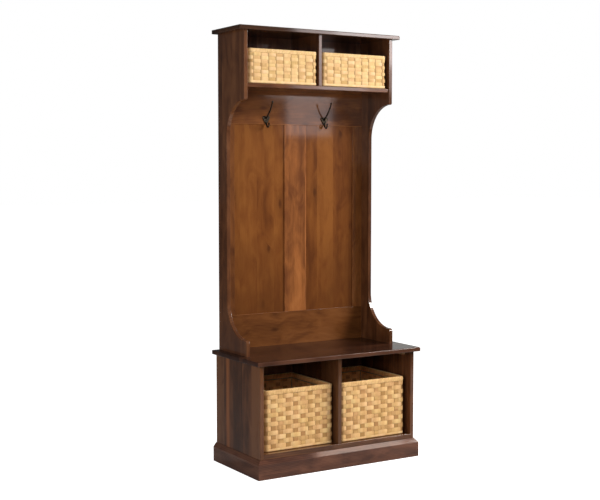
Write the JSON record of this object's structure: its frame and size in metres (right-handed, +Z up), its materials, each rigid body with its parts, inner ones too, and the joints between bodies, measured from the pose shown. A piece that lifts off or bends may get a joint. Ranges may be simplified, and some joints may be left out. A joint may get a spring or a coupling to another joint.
{
  "type": "hall bench",
  "caption": "Tall hall bench: seat over open bays with woven baskets, panelled back with coat hooks, coved sides and a shelf with baskets under the top board.",
  "frame": {"origin": "on the floor, under the middle of the seat board, which is the widest and deepest piece", "axes": "+X to the right as one faces the bench, +Y to the wall behind it, +Z up"},
  "size_m": [0.898, 0.4444, 2.032],
  "materials": {
    "case_wood": "dark brown stain under semi-gloss lacquer",
    "panel_wood": "warm brown stain under semi-gloss lacquer, knots and figure",
    "thin_panel": "stained thin panel",
    "inner_wood": "plain sawn hardwood, not stained",
    "dowel_wood": "fluted beech",
    "screw_steel": "zinc-plated steel",
    "hook_screw_bronze": "dark bronze finish",
    "hook_bronze": "dark oil-rubbed bronze finish",
    "lower_weave": "flat plaited plant fibre, honey colour",
    "upper_weave": "flat plaited plant fibre, pale straw colour",
    "basket_wire": "black painted steel wire"
  },
  "bodies": {
    "case": {"back_bottom_rail": "case_wood", "back_panel_left": "panel_wood", "back_panel_right": "panel_wood", "back_screws": "screw_steel", "back_stile_centre": "case_wood", "back_stile_left": "case_wood", "back_stile_right": "case_wood", "base_back_rail": "inner_wood", "base_front_rail": "inner_wood", "bench_back_panel": "thin_panel", "bench_deck": "case_wood", "bench_divider": "case_wood", "bench_side_left": "case_wood", "bench_side_right": "case_wood", "coat_hook_left": "hook_bronze", "coat_hook_right": "hook_bronze", "corner_blocks": "inner_wood", "cubby_back": "thin_panel", "cubby_divider": "case_wood", "cubby_shelf": "case_wood", "hook_rail": "case_wood", "hook_screws": "hook_screw_bronze", "hutch_screws": "screw_steel", "hutch_side_left": "case_wood", "hutch_side_right": "case_wood", "plinth_front": "case_wood", "plinth_left": "case_wood", "plinth_right": "case_wood", "plinth_screws": "screw_steel", "seat_board": "case_wood", "seat_cleat_left": "inner_wood", "seat_cleat_middle": "inner_wood", "seat_cleat_right": "inner_wood", "seat_screws": "screw_steel", "top_board": "case_wood", "top_dowels": "dowel_wood"},
    "lower_basket_left": {"lower_basket_left_body": "lower_weave", "lower_basket_left_frame": "basket_wire", "lower_basket_left_rim": "lower_weave"},
    "lower_basket_right": {"lower_basket_right_body": "lower_weave", "lower_basket_right_frame": "basket_wire", "lower_basket_right_rim": "lower_weave"},
    "upper_basket_left": {"upper_basket_left_body": "upper_weave", "upper_basket_left_frame": "basket_wire", "upper_basket_left_rim": "upper_weave"},
    "upper_basket_right": {"upper_basket_right_body": "upper_weave", "upper_basket_right_frame": "basket_wire", "upper_basket_right_rim": "upper_weave"}
  },
  "joints": [
    {"name": "lower_basket_left_pull", "type": "slide", "parent": "case", "child": "lower_basket_left", "axis": [0, -1, 0], "range_m": [0, 0.44]},
    {"name": "lower_basket_right_pull", "type": "slide", "parent": "case", "child": "lower_basket_right", "axis": [0, -1, 0], "range_m": [0, 0.44]},
    {"name": "upper_basket_left_pull", "type": "slide", "parent": "case", "child": "upper_basket_left", "axis": [0, -1, 0], "range_m": [0, 0.27]},
    {"name": "upper_basket_right_pull", "type": "slide", "parent": "case", "child": "upper_basket_right", "axis": [0, -1, 0], "range_m": [0, 0.27]}
  ]
}
